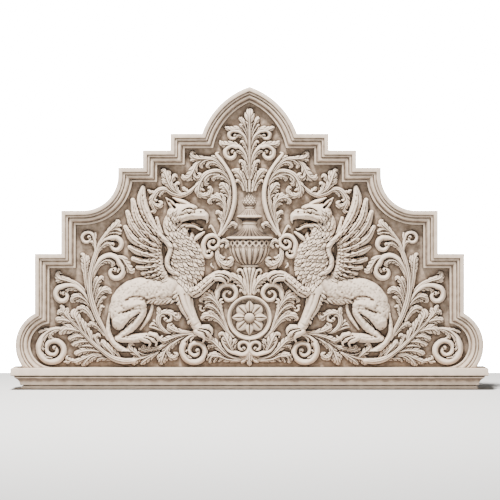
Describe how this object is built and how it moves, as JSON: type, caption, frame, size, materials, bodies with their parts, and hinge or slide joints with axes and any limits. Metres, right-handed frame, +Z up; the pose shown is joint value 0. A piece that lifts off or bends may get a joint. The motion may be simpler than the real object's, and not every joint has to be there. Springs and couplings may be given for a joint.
{
  "type": "carved pediment section",
  "caption": "Stepped ogee-headed pediment panel carved in relief with paired griffins, a covered urn and acanthus scrolls, standing on a moulded base course.",
  "frame": {"origin": "middle of the bed of the base course, halfway through the depth of the part", "axes": "+X to the right along the length, +Y from the carved front to the plain back, +Z up"},
  "size_m": [1.9, 0.18, 1.207],
  "materials": {
    "carved_stone": "fine-grained warm limestone, tooled, with darker weathered recesses",
    "base_stone": "fine-grained warm limestone, run smooth, weathered under the fillets"
  },
  "bodies": {
    "root": {"carved_panel": "carved_stone", "base_moulding": "base_stone"}
  },
  "joints": []
}
